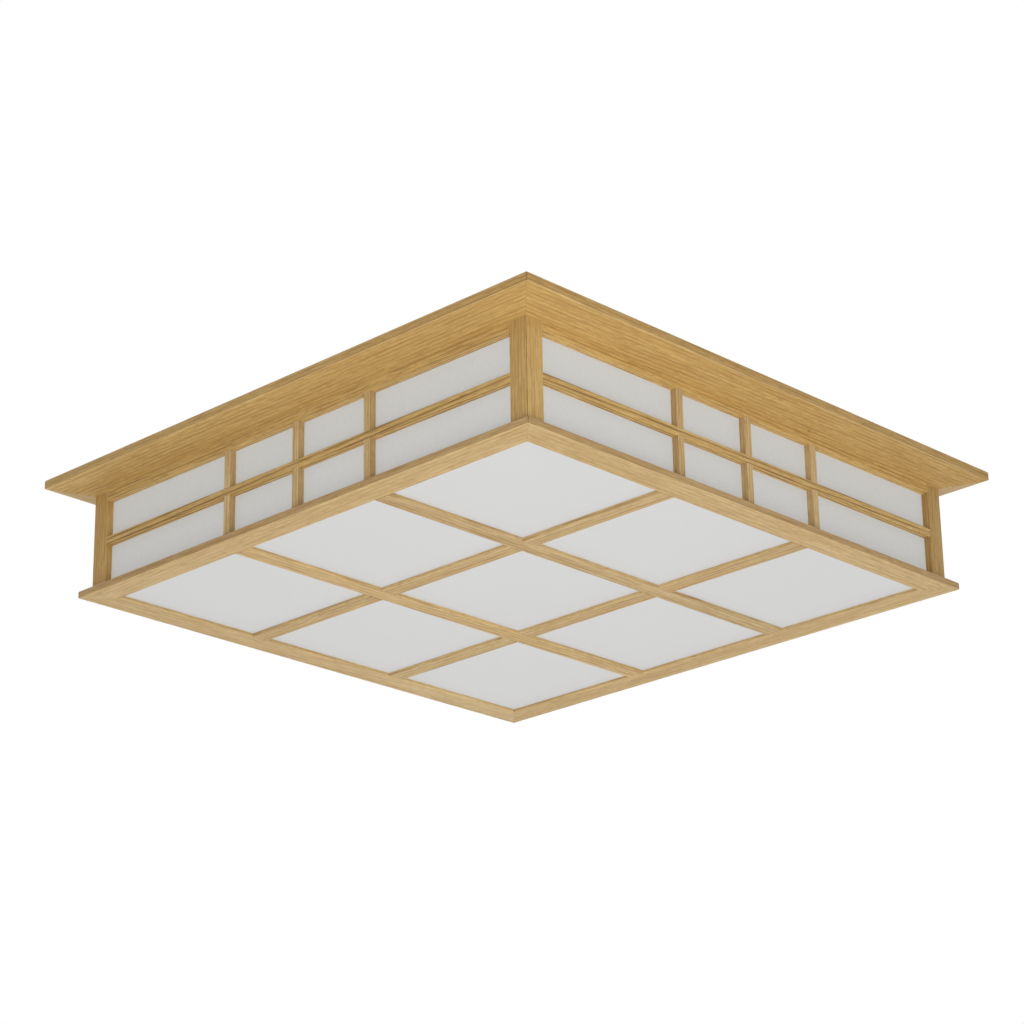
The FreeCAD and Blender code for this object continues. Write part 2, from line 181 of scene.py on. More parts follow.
def angle(name, description, default):
    """An angle that the user can set, given in degrees."""
    return bpy.props.FloatProperty(
        name=name, description=description, subtype="ANGLE", default=math.radians(default))


def power(name, description, default):
    """A lamp's power that the user can set, in watts."""
    return bpy.props.FloatProperty(name=name, description=description, unit="POWER", default=default)


class LanternWood(bpy.types.PropertyGroup):
    """Colours of the wood, from early growth to the dark late-growth lines, and the painted highlight and
    painted shade on it.
    """
    eave_pale: colour("Eave pale", "Early growth of the eave boards", tint(205, 172, 108))
    eave_deep: colour("Eave deep", "Late growth of the eave boards", tint(176, 138, 74))
    wall_pale: colour("Wall pale", "Early growth of posts, rails and muntins", tint(211, 179, 115))
    wall_deep: colour("Wall deep", "Late growth of posts, rails and muntins", tint(183, 145, 80))
    door_pale: colour("Door pale", "Early growth of the door rim and bars", tint(212, 185, 134))
    door_deep: colour("Door deep", "Late growth of the door rim and bars", tint(182, 149, 95))
    line: colour("Growth line", "Thin dark lines between the growth bands", tint(126, 84, 38))
    # Colour of the painted highlight along the rounded arrises
    arris_highlight: colour("Arris", "Pale wood along the rounded arrises", tint(230, 204, 154))
    eave_rings: length("Eave rings", "Spacing of the growth lines in the eave boards", 0.0022)
    wall_rings: length("Wall rings", "Spacing of the growth lines in the wall pieces", 0.0020)
    cross_rings: length("Cross rings", "Spacing of the growth lines in the cross muntins", 0.0027)
    door_rings: length("Door rings", "Spacing of the growth lines in the door pieces", 0.0038)
    lean: angle("Lean", "How far the grain runs off the length of a piece", 0.8)
    # Amounts of painted shade: on the outer edges of the eave and the door, and on the sides of the upright
    # muntins
    eave_edge_painted_shade: share("Eave edge", "How much darker the outer edge of the eave is", 0.13)
    door_edge_painted_shade: share("Door edge", "How much darker the outer edge of the door is", 0.31)
    reveal: share("Reveal", "How much darker the sides of the upright muntins are", 0.18)
    mitre_line: length("Mitre line", "Width of the dark glue line in a mitre", 0.0008)
    knot_radius: length("Knot", "Radius of a pin knot", 0.0016)


class LanternPanes(bpy.types.PropertyGroup):
    """Paper and diffuser, with the painted glow of both."""
    paper: colour("Paper", "White of the paper in the walls", tint(158, 160, 161))
    fibre: colour("Paper fibre", "Grey of the fibres in the paper", tint(150, 152, 153))
    diffuser: colour("Diffuser", "White of the diffuser in the door", tint(163, 163, 163))
    # Painted glow: paper and diffuser give out light of their own though the lamp is off, which evens out
    # their shading
    painted_glow_colour: colour("Light within", "Daylight that comes back through the paper", tint(255, 252, 246))
    paper_painted_glow: share("Paper glow", "How much light comes back through the paper", 0.30)
    diffuser_painted_glow: share("Diffuser glow", "How much light comes back through the diffuser", 0.237)


class LanternFittings(bpy.types.PropertyGroup):
    """Metal and plastic pieces."""
    plate: colour("Plate", "Powder coat of the ceiling plate", tint(226, 226, 223))
    steel: colour("Steel", "Zinc-plated screws and clips", tint(186, 188, 190))
    brass: colour("Brass", "Hinges and their screws", tint(198, 160, 92))
    nickel: colour("Nickel", "Plating of the magnets", tint(205, 204, 200))
    rubber: colour("Rubber", "Cable grommet", tint(46, 46, 47))
    plastic: colour("White plastic", "Driver case, terminal block and saddles", tint(228, 227, 221))
    board: colour("Light board", "White mask of the light boards", tint(236, 237, 235))
    lens: colour("Lens", "Clear moulded domes", tint(238, 240, 240))
    chip: colour("Chip", "Yellow phosphor under each dome", tint(240, 188, 34))
    wire: colour("Wire", "Insulation of the wires", tint(224, 222, 214))
    lens_gap: length("Lens gap", "From the light board to the flat face of a lens", 0.00015)
    lens_well: length("Lens well", "Depth of the well over the chip", 0.0015)
    chip_size: length("Chip size", "Width of a chip", 0.0034)
    chip_height: length("Chip height", "Height of a chip", 0.0007)
    gear_head: length("Gear head", "Height of the heads of the gear screws", 0.0016)
    rib_size: length("Rib size", "Width and height of a rib on the driver", 0.0018)
    rib_count: bpy.props.IntProperty(name="Ribs", description="Number of ribs on the driver", default=11)
    clamp_inset: length("Clamp inset", "From the ends of the terminal block to its screws", 0.0055)
    collar: length("Collar", "Height of the collars round the terminal screws", 0.0012)
    solder: length("Solder", "Radius of a solder joint", 0.0015)


class LanternStage(bpy.types.PropertyGroup):
    """Camera, lamps and floor."""
    azimuth: angle("Azimuth", "Direction of the camera round the light", 43.871)
    elevation: angle("Elevation", "Height of the camera over the horizon", -21.082)
    roll: angle("Roll", "Lean of the camera", 0.953)
    distance: length("Distance", "From the camera to the point it looks at", 2.4200)
    target: bpy.props.FloatVectorProperty(
        name="Target", description="Point that the camera looks at", subtype="XYZ",
        default=(-0.0036, -0.0040, -0.0321))
    lens: bpy.props.FloatProperty(name="Lens", description="Focal length in millimetres", default=103.673)
    floor_drop: length("Floor drop", "From the ceiling down to the floor", 2.4)
    floor: colour("Floor", "Pale floor", tint(238, 238, 236))
    floor_glow: share("Floor glow", "How much lighter the floor looks to the camera", 0.41)
    ambient: share("Ambient", "Light from all round", 0.62, top=4)
    key: power("Key", "Power of the large key lamp", 25)
    top: power("Top", "Power of the lamp over the ceiling side", 14)
    back: power("Back", "Power of the lamp behind the light", 12)
    strip: power("Strip", "Power of the upright strip lamp before the near corner", 0.36)
    strip_spread: angle("Strip spread", "Angle of the strip lamp's beam", 20)


def new_group(name, inputs, outputs):
    """An empty shader group with its named sockets."""
    group = bpy.data.node_groups.new(name, "ShaderNodeTree")
    for label, kind, default in inputs:
        socket = group.interface.new_socket(label, in_out="INPUT", socket_type=kind)
        if default is not None:
            socket.default_value = default
    for label, kind in outputs:
        group.interface.new_socket(label, in_out="OUTPUT", socket_type=kind)
    return group, group.nodes.new("NodeGroupInput").outputs, group.nodes.new("NodeGroupOutput")


def feed(tree, node, inputs):
    """Gives the inputs of a node their links or values."""
    for socket, value in inputs.items():
        if isinstance(value, bpy.types.NodeSocket):
            tree.links.new(value, node.inputs[socket])
        else:
            node.inputs[socket].default_value = value


def put(tree, kind, inputs=None, **settings):
    """A node with its settings, and links or values for its inputs."""
    node = tree.nodes.new(kind)
    for name, value in settings.items():
        setattr(node, name, value)
    feed(tree, node, inputs or {})
    return node


def noise(tree, vector, scale, detail=2.0, **more):
    """A noise with so many features per metre."""
    named = {label.capitalize(): value for label, value in more.items()}
    return put(tree, "ShaderNodeTexNoise", {
        "Vector": vector, "Scale": scale, "Detail": detail, **named}).outputs["Fac"]


def stretched_noise(tree, vector, name):
    """One of the grain's noises, drawn out along x."""
    along, across, detail, rough = GRAIN_NOISE[name]
    scaled = put(tree, "ShaderNodeVectorMath", {0: vector, 1: (along, across, across)}, operation="MULTIPLY")
    return noise(tree, scaled.outputs[0], 1.0, detail, roughness=rough)


def ranged(tree, value, low, high, start=0.0, end=1.0):
    """A value carried smoothly from one range to another."""
    limits = {"From Min": low, "From Max": high, "To Min": start, "To Max": end}
    return put(tree, "ShaderNodeMapRange", {"Value": value, **limits},
               interpolation_type="SMOOTHSTEP").outputs["Result"]


def maths(tree, operation, first, second):
    """The outcome of a sum on two values or sockets."""
    return put(tree, "ShaderNodeMath", {0: first, 1: second}, operation=operation).outputs[0]


def mixed(tree, amount, first, second):
    """A colour between two colours."""
    node = put(tree, "ShaderNodeMix", {"Factor": amount, 6: first, 7: second}, data_type="RGBA")
    return node.outputs[2]


def grain_group():
    """Straight grain along x: growth lines broken into dashes, broad bands, fibres and short pores."""
    group, given, result = new_group("Straight grain", (
        ("Vector", "NodeSocketVector", None),
        ("Pale", "NodeSocketColor", None),
        ("Deep", "NodeSocketColor", None),
        ("Line", "NodeSocketColor", None),
        ("Rings", "NodeSocketFloat", 300.0),
        ("Wander", "NodeSocketFloat", 2.0),
        ("Figure", "NodeSocketFloat", 0.4),
        ("Broken", "NodeSocketFloat", 1.0),
    ), (("Color", "NodeSocketColor"), ("Roughness", "NodeSocketFloat"), ("Height", "NodeSocketFloat")))
    vector = given["Vector"]
    across = put(group, "ShaderNodeVectorMath", {0: vector, 1: RING_FACING}, operation="DOT_PRODUCT")
    count = maths(group, "MULTIPLY", across.outputs["Value"], given["Rings"])
    wander = maths(group, "MULTIPLY", stretched_noise(group, vector, "wander"), given["Wander"])
    ripple = maths(group, "MULTIPLY", stretched_noise(group, vector, "ripple"), RIPPLE)
    phase = maths(group, "ADD", maths(group, "ADD", count, wander), ripple)
    ring = put(group, "ShaderNodeMath", {0: phase}, operation="FRACT").outputs[0]
    late = maths(group, "MULTIPLY", ranged(group, ring, 0.4, 0.85), ranged(group, ring, 1.0, 0.9))
    gap = ranged(group, stretched_noise(group, vector, "gap"), 0.66, 0.3)
    kept = maths(group, "SUBTRACT", 1.0, maths(group, "MULTIPLY", gap, given["Broken"]))
    dashes = maths(group, "MULTIPLY", late, kept)
    band = ranged(group, stretched_noise(group, vector, "band"), 0.3, 0.7)
    fibre = ranged(group, stretched_noise(group, vector, "fibre"), 0.32, 0.68)
    pore = ranged(group, stretched_noise(group, vector, "pore"), 0.50, 0.66)
    tone = maths(group, "ADD", maths(group, "MULTIPLY", band, BAND), maths(group, "MULTIPLY", fibre, FIBRE))
    body = mixed(group, tone, given["Pale"], given["Deep"])
    dark = maths(group, "MAXIMUM", maths(group, "MULTIPLY", dashes, given["Figure"]),
                 maths(group, "MULTIPLY", pore, PORE))
    feed(group, result, {
        "Color": mixed(group, dark, body, given["Line"]),
        "Roughness": ranged(group, tone, 0.0, 1.0, start=0.50, end=0.64),
        "Height": maths(group, "SUBTRACT", fibre, maths(group, "MULTIPLY", pore, PORE_DEPTH)),
    })


def facing_group():
    """Masks from the way a face looks: arrises, upright faces, outer edges, and faces across x or y."""
    group, given, result = new_group("Facing", (
        ("Normal", "NodeSocketVector", None),
        ("Vector", "NodeSocketVector", None),
    ), tuple((label, "NodeSocketFloat") for label in ("Arris", "Upright", "Outer", "X", "Y")))
    facing = put(group, "ShaderNodeVectorMath", {0: given["Normal"]}, operation="ABSOLUTE").outputs[0]
    axes = put(group, "ShaderNodeSeparateXYZ", {0: facing}).outputs
    squarest = maths(group, "MAXIMUM", maths(group, "MAXIMUM", axes["X"], axes["Y"]), axes["Z"])
    upright = ranged(group, axes["Z"], 0.75, 0.35)
    outward = put(group, "ShaderNodeVectorMath", {0: given["Normal"], 1: given["Vector"]},
                  operation="DOT_PRODUCT").outputs["Value"]
    feed(group, result, {
        "Arris": ranged(group, squarest, 0.965, 0.88),
        "Upright": upright,
        "Outer": maths(group, "MULTIPLY", upright, ranged(group, outward, 0.15, 0.20)),
        "X": ranged(group, axes["X"], 0.6, 0.9),
        "Y": ranged(group, axes["Y"], 0.6, 0.9),
    })


def mitre_group():
    """The dark glue line of a mitre, on the diagonals of the plan."""
    group, given, result = new_group("Mitre line", (
        ("Vector", "NodeSocketVector", None),
        ("Width", "NodeSocketFloat", 0.0005),
    ), (("Mask", "NodeSocketFloat"),))
    place = put(group, "ShaderNodeVectorMath", {0: given["Vector"]}, operation="ABSOLUTE").outputs[0]
    axes = put(group, "ShaderNodeSeparateXYZ", {0: place}).outputs
    gap = maths(group, "SUBTRACT", axes["X"], axes["Y"])
    off = put(group, "ShaderNodeMath", {0: gap}, operation="ABSOLUTE").outputs[0]
    feed(group, result, {"Mask": ranged(group, off, given["Width"], 0.0)})


def knot_group():
    """A pin knot: a small dark core with a ragged edge."""
    group, given, result = new_group("Pin knot", (
        ("Vector", "NodeSocketVector", None),
        ("Centre", "NodeSocketVector", None),
        ("Radius", "NodeSocketFloat", 0.0015),
    ), (("Mask", "NodeSocketFloat"),))
    ragged = maths(group, "ADD", noise(group, given["Vector"], 900.0), 0.5)
    off = put(group, "ShaderNodeVectorMath", {0: given["Vector"], 1: given["Centre"]}, operation="DISTANCE")
    edge = maths(group, "MULTIPLY", off.outputs["Value"], ragged)
    feed(group, result, {"Mask": ranged(group, edge, given["Radius"], 0.0)})


def speckle_group():
    """A fine speckle in the tone, gloss and surface of a plain finish."""
    group, given, result = new_group("Fine speckle", (
        ("Vector", "NodeSocketVector", None),
        ("Color", "NodeSocketColor", None),
        ("Scale", "NodeSocketFloat", 2000.0),
        ("Contrast", "NodeSocketFloat", 0.06),
        ("Roughness", "NodeSocketFloat", 0.5),
    ), (("Color", "NodeSocketColor"), ("Roughness", "NodeSocketFloat"), ("Height", "NodeSocketFloat")))
    speck = noise(group, given["Vector"], given["Scale"])
    level = maths(group, "SUBTRACT", 1.0, maths(group, "MULTIPLY", speck, given["Contrast"]))
    dimmed = put(group, "ShaderNodeVectorMath", {0: given["Color"], "Scale": level}, operation="SCALE")
    uneven = ranged(group, speck, 0.2, 0.8, start=-0.05, end=0.05)
    feed(group, result, {
        "Color": dimmed.outputs[0],
        "Roughness": maths(group, "ADD", given["Roughness"], uneven),
        "Height": speck,
    })


def raised(tree, height, strength, distance=0.0002):
    """The normal of a surface that a height makes uneven."""
    return put(tree, "ShaderNodeBump", {
        "Height": height, "Strength": strength, "Distance": distance}).outputs["Normal"]


def new_material(name):
    """A material with its node tree and its surface shader."""
    material = bpy.data.materials.new(name)
    material.use_nodes = True
    tree = material.node_tree
    return material, tree, tree.nodes["Principled BSDF"]


def effect(tree, name, **inputs):
    """A shared effect placed in a material, with its own links and values."""
    named = {label.capitalize(): value for label, value in inputs.items()}
    return put(tree, "ShaderNodeGroup", named, node_tree=bpy.data.node_groups[name]).outputs


def wear(node, material):
    """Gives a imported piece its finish."""
    slots = NODES[node].data.materials
    slots.clear()
    slots.append(material)


def wood(node, run, seed, pale, deep, rings, figure=0.4, line_shade=1.0, broken=1.0, wander=2.0,
         painted_highlight=0.0, painted_shade=None, mitred=False, knot=None):
    """Wood with its grain along the piece, cut from its own place in the plank, with painted shade on chosen
    faces and a painted highlight along its arrises.
    """
    # Board tone: partly random from board to board, partly painted light
    shade = BOARD_TONE_AND_LIGHT.get(node, 1.0)
    settings = bpy.context.scene.lantern_wood
    material, tree, surface = new_material("Wood " + node)
    place = put(tree, "ShaderNodeTexCoord").outputs
    lean = (0, 0, settings.lean * (seed % 3 - 1))
    turned = put(tree, "ShaderNodeMapping", {
        "Vector": place["Object"],
        "Rotation": [turn + off for turn, off in zip(TURN_TO_X[run], lean)],
        "Location": [step * seed for step in PLANK_STEP],
    })
    line = shaded(settings.line, shade * line_shade)
    grain = effect(tree, "Straight grain", vector=turned.outputs[0], pale=shaded(pale, shade),
                   deep=shaded(deep, shade), line=line, rings=1 / rings, wander=wander, figure=figure,
                   broken=broken)
    facing = effect(tree, "Facing", normal=place["Normal"], vector=place["Object"])
    finish = grain["Color"]
    # Painted shade: the faces that a facing mask picks are mixed towards the growth-line colour
    if painted_shade:
        where, amount = painted_shade
        finish = mixed(tree, maths(tree, "MULTIPLY", facing[where], amount), finish, line)
    # Painted highlight: the arrises are mixed towards a pale colour
    if painted_highlight:
        highlight_mask = maths(tree, "MULTIPLY", facing["Arris"], painted_highlight)
        finish = mixed(tree, highlight_mask, finish, shaded(settings.arris_highlight, shade))
    if mitred:
        joint = effect(tree, "Mitre line", vector=place["Object"], width=settings.mitre_line)
        strength = ranged(tree, facing["Upright"], 0.0, 1.0, start=MITRE_LEVEL, end=MITRE_UPRIGHT)
        glue = maths(tree, "MULTIPLY", joint["Mask"], strength)
        finish = mixed(tree, glue, finish, shaded(settings.line, GLUE_SHADE))
    if knot:
        core = effect(tree, "Pin knot", vector=place["Object"], centre=knot, radius=settings.knot_radius)
        finish = mixed(tree, core["Mask"], finish, shaded(settings.line, KNOT_SHADE))
    feed(tree, surface, {
        "Base Color": finish,
        "Roughness": grain["Roughness"],
        "Normal": raised(tree, grain["Height"], 0.12),
        "Specular IOR Level": 0.3,
        "Coat Weight": 0.04,
        "Coat Roughness": 0.35,
    })
    wear(node, material)


class LANTERN_OT_eave_boards(bpy.types.Operator):
    """Grain of the four mitred eave boards, with painted shade on their outer edges and a painted highlight
    on their arrises
    """
    bl_idname = "lantern.eave_boards"
    bl_label = "Eave Boards"

    def execute(self, context):
        tones = context.scene.lantern_wood
        for seed, side in enumerate(SIDES, 1):
            # Painted shade on the outer edges and a painted highlight on the arrises
            wood("eave_board_" + side, RUN_OF_SIDE[side], seed, tones.eave_pale, tones.eave_deep,
                 tones.eave_rings, figure=0.55, painted_highlight=0.28, painted_shade=("Outer", tones.eave_edge_painted_shade), mitred=True,
                 knot=KNOTS.get(side))
        return {"FINISHED"}


class LANTERN_OT_wall_frames(bpy.types.Operator):
    """Grain of the posts, rails and muntins of the walls, with painted shade on chosen faces and a painted
    highlight on the upright muntins' arrises
    """
    bl_idname = "lantern.wall_frames"
    bl_label = "Wall Frames"

    def execute(self, context):
        tones = context.scene.lantern_wood
        # Painted shade on the post faces that look along y, so the faces that look along x seem lit from the
        # right
        pieces = [("post_" + corner, "Z", {"painted_shade": ("Y", 0.15), "mitred": True}) for corner in CORNERS]
        pieces.append(("corner_blocks", "Z", {}))
        for side in SIDES:
            along = RUN_OF_SIDE[side]
            pieces += [
                ("top_rail_" + side, along, {"figure": 0.72, "line_shade": 0.8}),
                ("bottom_rail_" + side, along, {}),
                # Painted shade on the upright faces of the cross muntins, so that with their lighter board
                # tone their undersides look lit
                ("cross_muntin_" + side, along, {
                    "figure": 0.85, "line_shade": 0.6, "broken": 0.45, "wander": 1.4,
                    "rings": tones.cross_rings, "painted_shade": ("Upright", 0.1)}),
            ]
        for seed, (node, run, finish) in enumerate(pieces, 11):
            wood(node, run, seed, tones.wall_pale, tones.wall_deep, **{"rings": tones.wall_rings, **finish})
        for seed, side in enumerate(SIDES, 31):
            # Painted shade on the sides of the upright muntins in their reveals, and a painted highlight on
            # their arrises
            wood("upright_muntins_" + side, "Z", seed, tones.door_pale, tones.door_deep, tones.wall_rings,
                 painted_highlight=0.3, painted_shade=(RUN_OF_SIDE[side], tones.reveal))
        return {"FINISHED"}


class LANTERN_OT_door_lattice(bpy.types.Operator):
    """Grain of the door's rim and lattice bars, with painted shade on the rim's outer edge and a painted
    highlight on its arrises
    """
    bl_idname = "lantern.door_lattice"
    bl_label = "Door Lattice"

    def execute(self, context):
        tones = context.scene.lantern_wood
        # Painted shade on the outer edge of the rim and a painted highlight on its arrises
        rim = {"figure": 0.42, "painted_highlight": 0.25, "painted_shade": ("Outer", tones.door_edge_painted_shade), "mitred": True}
        pieces = [("door_rail_" + side, RUN_OF_SIDE[side], rim) for side in SIDES]
        bar = {"figure": 0.62}
        pieces += [("door_bar_across_front", "X", bar), ("door_bar_across_back", "X", bar)]
        pieces += [("door_bar_along_left", "Y", bar), ("door_bar_along_right", "Y", bar)]
        for seed, (node, run, finish) in enumerate(pieces, 41):
            wood(node, run, seed, tones.door_pale, tones.door_deep, tones.door_rings, wander=2.5, **finish)
        return {"FINISHED"}


class LANTERN_OT_paper_panes(bpy.types.Operator):
    """White paper with faint fibres behind the wall lattice, and a painted glow"""
    bl_idname = "lantern.paper_panes"
    bl_label = "Paper Panes"

    def execute(self, context):
        panes = context.scene.lantern_panes
        material, tree, surface = new_material("Lantern paper")
        place = put(tree, "ShaderNodeTexCoord").outputs["Object"]
        clouds = noise(tree, place, 260.0, detail=4.0, roughness=0.65)
        fibres = noise(tree, place, 900.0, distortion=1.5)
        tone = maths(tree, "MULTIPLY", ranged(tree, clouds, 0.3, 0.7), ranged(tree, fibres, 0.3, 0.7))
        feed(tree, surface, {
            "Base Color": mixed(tree, tone, (*panes.paper, 1), (*panes.fibre, 1)),
            "Normal": raised(tree, fibres, 0.15),
            "Roughness": 0.85,
            "Specular IOR Level": 0.25,
            # Painted glow of the paper
            "Emission Color": (*panes.painted_glow_colour, 1),
            "Emission Strength": panes.paper_painted_glow,
        })
        for side in SIDES:
            wear("paper_" + side, material)
        return {"FINISHED"}


class LANTERN_OT_diffuser(bpy.types.Operator):
    """Satin white diffuser of the door, with a painted glow"""
    bl_idname = "lantern.diffuser"
    bl_label = "Diffuser"

    def execute(self, context):
        panes = context.scene.lantern_panes
        material, tree, surface = new_material("Opal diffuser")
        place = put(tree, "ShaderNodeTexCoord").outputs["Object"]
        frost = noise(tree, place, 1400.0)
        cloud = noise(tree, place, 9.0, detail=1.0)
        feed(tree, surface, {
            "Base Color": mixed(tree, cloud, (*panes.diffuser, 1), shaded(panes.diffuser, 0.96)),
            "Roughness": ranged(tree, frost, 0.0, 1.0, start=0.42, end=0.54),
            "Normal": raised(tree, frost, 0.05, distance=0.0001),
            # Painted glow of the diffuser
            "Emission Color": (1, 1, 1, 1),
            "Emission Strength": panes.diffuser_painted_glow,
        })
        wear("door_diffuser", material)
        return {"FINISHED"}


def speckled(name, base, roughness, metallic=0.0, scale=2200.0, contrast=0.08, bump=0.04):
    """A plain finish with a fine speckle in its tone, gloss and surface."""
    material, tree, surface = new_material(name)
    place = put(tree, "ShaderNodeTexCoord").outputs
    speck = effect(tree, "Fine speckle", vector=place["Object"], color=(*base, 1), scale=scale,
                   contrast=contrast, roughness=roughness)
    feed(tree, surface, {
        "Base Color": speck["Color"], "Roughness": speck["Roughness"], "Metallic": metallic})
    if bump:
        feed(tree, surface, {"Normal": raised(tree, speck["Height"], bump)})
    return material


def add_object(name, data):
    """A new object in the scene."""
    thing = bpy.data.objects.new(name, data)
    bpy.context.scene.collection.objects.link(thing)
    return thing


def solids(node):
    """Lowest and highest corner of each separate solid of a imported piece."""
    shape = bmesh.new()
    shape.from_mesh(NODES[node].data)
    bmesh.ops.remove_doubles(shape, verts=shape.verts, dist=WELD)
    seen = set()
    boxes = []
    for start in shape.verts:
        if start in seen:
            continue
        seen.add(start)
        group = [start]
        for vert in group:
            near = [edge.other_vert(vert) for edge in vert.link_edges]
            fresh = [other for other in near if other not in seen]
            seen.update(fresh)
            group += fresh
        boxes.append(tuple(Vector(pick(v.co[i] for v in group) for i in range(3)) for pick in (min, max)))
    shape.free()
    return boxes


def joined(whole, part, place):
    """Adds one shape to another at its place."""
    bmesh.ops.transform(part, matrix=place, verts=part.verts)
    mesh = bpy.data.meshes.new("Part")
    part.to_mesh(mesh)
    part.free()
    whole.from_mesh(mesh)
    bpy.data.meshes.remove(mesh)


def finished(name, shape, body, slot, *materials):
    """A new piece from its shape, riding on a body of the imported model."""
    bmesh.ops.recalc_face_normals(shape, faces=shape.faces)
    mesh = bpy.data.meshes.new(name)
    shape.to_mesh(mesh)
    shape.free()
    for material in materials:
        mesh.materials.append(material)
    mesh.shade_smooth()
    mesh.set_sharp_from_angle(angle=SMOOTH_UP_TO)
    piece = add_object(name, mesh)
    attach(piece, body)
    return piece


def open_edges(shape):
    """Edges with a face on one side only."""
    return [edge for edge in shape.edges if edge.is_boundary]


def cut_above(shape, level):
    """Takes off all that lies above a level."""
    everything = shape.verts[:] + shape.edges[:] + shape.faces[:]
    bmesh.ops.bisect_plane(shape, geom=everything, plane_co=(0, 0, level), plane_no=(0, 0, 1),
                           clear_outer=True)


def turned_shape(profile, closed=False):
    """A profile of radius and level, turned about the z axis."""
    shape = bmesh.new()
    verts = [shape.verts.new((across, 0, level)) for across, level in profile]
    ends = verts[1:] + verts[:1] if closed else verts[1:]
    edges = [shape.edges.new(pair) for pair in zip(verts, ends)]
    bmesh.ops.spin(shape, geom=verts + edges, axis=(0, 0, 1), angle=2 * math.pi, steps=TURN_STEPS,
                   use_merge=True)
    return shape


def push_in(shape, faces, depth, taper=1.0):
    """Pushes faces down into a shape, as the floor of a well or recess."""
    pushed = bmesh.ops.extrude_face_region(shape, geom=faces)["geom"]
    bmesh.ops.delete(shape, geom=faces, context="FACES_KEEP_BOUNDARY")
    verts = [part for part in pushed if isinstance(part, bmesh.types.BMVert)]
    bmesh.ops.scale(shape, verts=verts, vec=(taper, taper, 1))
    bmesh.ops.translate(shape, verts=verts, vec=(0, 0, -depth))


def cross_recess(shape, head):
    """Closes the top of a screw head with a tapered cross-shaped recess."""
    arm = RECESS_ARM * head
    slot = RECESS_SLOT * head
    skin = set(shape.faces)
    rim = open_edges(shape)
    for vert in bmesh.ops.create_grid(shape, x_segments=3, y_segments=3, size=arm)["verts"]:
        for axis in (0, 1):
            if abs(vert.co[axis]) < arm / 2:
                vert.co[axis] = math.copysign(slot, vert.co[axis])
    middles = {face: face.calc_center_median() for face in shape.faces if face not in skin}
    corners = [face for face, spot in middles.items() if min(abs(spot.x), abs(spot.y)) > slot]
    bmesh.ops.delete(shape, geom=corners, context="FACES")
    outline = [edge for edge in open_edges(shape) if edge not in rim]
    bmesh.ops.subdivide_edges(shape, edges=outline, cuts=1)
    floor = [face for face in shape.faces if face not in skin]
    bmesh.ops.bridge_loops(shape, edges=open_edges(shape))
    push_in(shape, floor, RECESS_DEPTH * head, taper=RECESS_TAPER)


def cross_head_screw(head, reach, rise):
    """A screw with its head at the origin looking up: countersunk, or a pan head where it has a rise."""
    shank = SHANK * head
    if rise:
        profile = [(PAN_FLAT * head, 0), (head, -PAN_DROP * head), (head, -rise), (shank, -rise)]
    else:
        profile = [(head, 0), (shank, shank - head)]
    shape = turned_shape([*profile, (shank, -reach), (0, -reach)])
    bmesh.ops.remove_doubles(shape, verts=shape.verts, dist=WELD)
    cross_recess(shape, head)
    return shape


def driven_screws(node, body, slot, material, up=True, rise=0.0):
    """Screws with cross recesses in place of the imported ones."""
    whole = bmesh.new()
    for low, high in solids(node):
        middle = (low + high) / 2
        place = Matrix.Translation((middle.x, middle.y, high.z if up else low.z))
        if not up:
            place = place @ Matrix.Rotation(math.pi, 4, "X")
        joined(whole, cross_head_screw((high.x - low.x) / 2, high.z - low.z, rise), place)
    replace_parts(finished(node + "_driven", whole, body, slot, material), node)


class LANTERN_OT_ceiling_plate(bpy.types.Operator):
    """Powder-coated ceiling plate with its screws and grommet"""
    bl_idname = "lantern.ceiling_plate"
    bl_label = "Ceiling Plate"

    def execute(self, context):
        finish = context.scene.lantern_fittings
        coat = speckled("White powder coat", finish.plate, roughness=0.48, scale=1500.0, bump=0.15)
        wear("ceiling_plate", coat)
        rubber = speckled("Black rubber", finish.rubber, roughness=0.72, contrast=0.2, bump=0.2)
        wear("cable_grommet", rubber)
        zinc = speckled("Zinc plating", finish.steel, roughness=0.34, metallic=1.0, contrast=0.15)
        driven_screws("plate_screws", "lantern", "steel", zinc)
        return {"FINISHED"}


